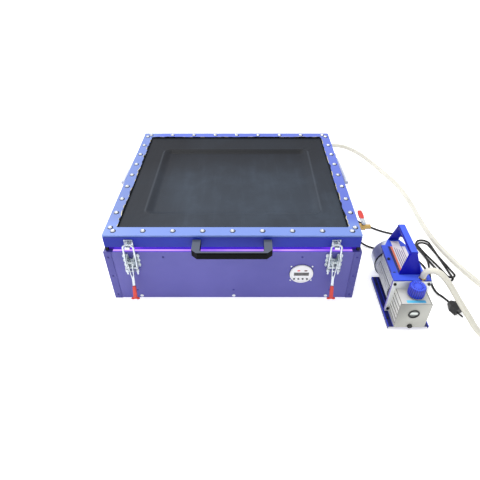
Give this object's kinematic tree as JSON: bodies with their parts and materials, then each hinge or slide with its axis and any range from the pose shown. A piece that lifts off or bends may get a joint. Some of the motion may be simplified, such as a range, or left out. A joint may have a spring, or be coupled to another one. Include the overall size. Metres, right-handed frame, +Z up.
{
  "type": "screen printing exposure unit",
  "caption": "Tabletop vacuum exposure unit for screens: blue sheet-metal light box, hinged lid with a bolted rubber blanket, toggle latches, timer and a vacuum pump on a hose.",
  "frame": {"origin": "centre of the base box's underside, on the bench", "axes": "+Z up, -Y towards the operator (the side with latches, handle and timer), +X to the operator's right, where the pump stands"},
  "size_m": [1.1801, 1.0108, 0.2325],
  "materials": {
    "panel_blue": "satin",
    "clamp_blue": "satin",
    "sheet_blue_inside": "satin",
    "dark_screw": "satin",
    "zinc": "brushed",
    "bed_glass": "clear",
    "seal_foam": "matte",
    "tray_white": "matte",
    "led_violet": "lit",
    "driver_case": "satin",
    "timer_white": "matte",
    "timer_display": "gloss",
    "timer_lamp": "gloss",
    "button_grey": "matte",
    "rubber_sheet": "matte",
    "handle_black": "satin",
    "stay_white": "satin",
    "stay_chrome": "polished",
    "brass": "satin",
    "red_grip": "gloss",
    "pump_blue": "gloss",
    "cap_blue": "gloss",
    "pump_aluminium": "satin",
    "fan_grey": "gloss",
    "sight_clear": "gloss",
    "hose_cream": "satin",
    "cord_black": "satin",
    "foot_black": "matte"
  },
  "bodies": {
    "base": {"base_pan": "sheet_blue_inside", "left_side_panel": "panel_blue", "right_side_panel": "panel_blue", "front_panel": "panel_blue", "back_panel": "panel_blue", "panel_screws": "dark_screw", "zinc_screws": "zinc", "glass_plate": "bed_glass", "glass_seal": "seal_foam", "light_tray": "tray_white", "uv_led_strips": "led_violet", "led_driver": "driver_case", "timer_body": "timer_white", "timer_window": "timer_display", "timer_lamps": "timer_lamp", "base_hinge_leaves": "zinc", "base_stay_brackets": "zinc", "latch_brackets": "zinc", "hose_port": "brass", "cord_glands": "cord_black", "pump_base": "pump_blue", "pump_feet": "foot_black", "motor_housing": "pump_aluminium", "fan_cover": "fan_grey", "pump_handle": "pump_blue", "pump_mid_plate": "pump_aluminium", "oil_chamber": "pump_aluminium", "sight_glass": "sight_clear", "inlet_fitting": "brass", "pump_screws": "dark_screw", "vacuum_hose": "hose_cream", "power_cord": "cord_black", "power_cord_hank": "cord_black", "power_plug": "cord_black", "pump_cord": "cord_black"},
    "lid": {"latch_keepers": "zinc", "lid_frame": "panel_blue", "clamp_frame": "clamp_blue", "rubber_blanket": "rubber_sheet", "blanket_bolts": "zinc", "lid_handle": "handle_black", "lid_hinge_leaves": "zinc", "lid_stay_brackets": "zinc", "release_valve": "brass"},
    "release_lever": {"valve_lever": "red_grip"},
    "left_stay_inner": {"left_stay_rod": "stay_chrome"},
    "right_stay_inner": {"right_stay_rod": "stay_chrome"},
    "left_stay_outer": {"left_stay_tube": "stay_white"},
    "right_stay_outer": {"right_stay_tube": "stay_white"},
    "left_latch": {"left_latch_lever": "zinc", "left_latch_grip": "red_grip"},
    "right_latch": {"right_latch_lever": "zinc", "right_latch_grip": "red_grip"},
    "left_bail_loop": {"left_bail": "zinc"},
    "right_bail_loop": {"right_bail": "zinc"},
    "filler_cap": {"oil_cap": "cap_blue"},
    "button_1": {"timer_button_1": "button_grey"},
    "button_2": {"timer_button_2": "button_grey"},
    "button_3": {"timer_button_3": "button_grey"},
    "button_4": {"timer_button_4": "button_grey"}
  },
  "joints": [
    {"name": "lid_hinge", "type": "hinge", "parent": "base", "child": "lid", "pos_m": [0, 0.318, 0.182], "axis": [-1, 0, 0], "range_deg": [0, 55]},
    {"name": "release_turn", "type": "hinge", "parent": "lid", "child": "release_lever", "pos_m": [0.358, -0.238, 0.218], "axis": [0, 0, -1], "range_deg": [0, 90]},
    {"name": "filler_cap_turn", "type": "hinge", "parent": "base", "child": "filler_cap", "pos_m": [0.48, -0.3965, 0.12], "axis": [0, 0, 1], "range_deg": [0, 180]},
    {"name": "left_stay_swing", "type": "hinge", "parent": "base", "child": "left_stay_inner", "pos_m": [-0.354, 0.205, 0.192], "axis": [-1, 0, 0], "range_deg": [0, 74.71]},
    {"name": "left_stay_slide", "type": "slide", "parent": "left_stay_inner", "child": "left_stay_outer", "axis": [0, -0.9968, 0.0796], "range_m": [0, 0.06384]},
    {"name": "left_latch_swing", "type": "hinge", "parent": "base", "child": "left_latch", "pos_m": [-0.274, -0.326, 0.15], "axis": [-1, 0, 0], "range_deg": [0, 100]},
    {"name": "left_bail_swing", "type": "hinge", "parent": "left_latch", "child": "left_bail_loop", "pos_m": [-0.274, -0.322, 0.13], "axis": [-1, 0, 0], "range_deg": [-78.5, 0]},
    {"name": "right_stay_swing", "type": "hinge", "parent": "base", "child": "right_stay_inner", "pos_m": [0.354, 0.205, 0.192], "axis": [-1, 0, 0], "range_deg": [0, 74.71]},
    {"name": "right_stay_slide", "type": "slide", "parent": "right_stay_inner", "child": "right_stay_outer", "axis": [0, -0.9968, 0.0796], "range_m": [0, 0.06384]},
    {"name": "right_latch_swing", "type": "hinge", "parent": "base", "child": "right_latch", "pos_m": [0.274, -0.326, 0.15], "axis": [-1, 0, 0], "range_deg": [0, 100]},
    {"name": "right_bail_swing", "type": "hinge", "parent": "right_latch", "child": "right_bail_loop", "pos_m": [0.274, -0.322, 0.13], "axis": [-1, 0, 0], "range_deg": [-78.5, 0]},
    {"name": "button_1_press", "type": "slide", "parent": "base", "child": "button_1", "axis": [0, 1, 0], "range_m": [0, 0.001], "stiffness_N_per_m": 300},
    {"name": "button_2_press", "type": "slide", "parent": "base", "child": "button_2", "axis": [0, 1, 0], "range_m": [0, 0.001], "stiffness_N_per_m": 300},
    {"name": "button_3_press", "type": "slide", "parent": "base", "child": "button_3", "axis": [0, 1, 0], "range_m": [0, 0.001], "stiffness_N_per_m": 300},
    {"name": "button_4_press", "type": "slide", "parent": "base", "child": "button_4", "axis": [0, 1, 0], "range_m": [0, 0.001], "stiffness_N_per_m": 300}
  ],
  "couplings": [
    {"joint": "left_stay_swing", "follows": "lid_hinge", "ratio": 1.3575},
    {"joint": "left_stay_slide", "follows": "lid_hinge", "m_per_rad": 0.066406},
    {"joint": "left_bail_swing", "follows": "left_latch_swing", "ratio": -0.78},
    {"joint": "right_stay_swing", "follows": "lid_hinge", "ratio": 1.3575},
    {"joint": "right_stay_slide", "follows": "lid_hinge", "m_per_rad": 0.066406},
    {"joint": "right_bail_swing", "follows": "right_latch_swing", "ratio": -0.78}
  ]
}
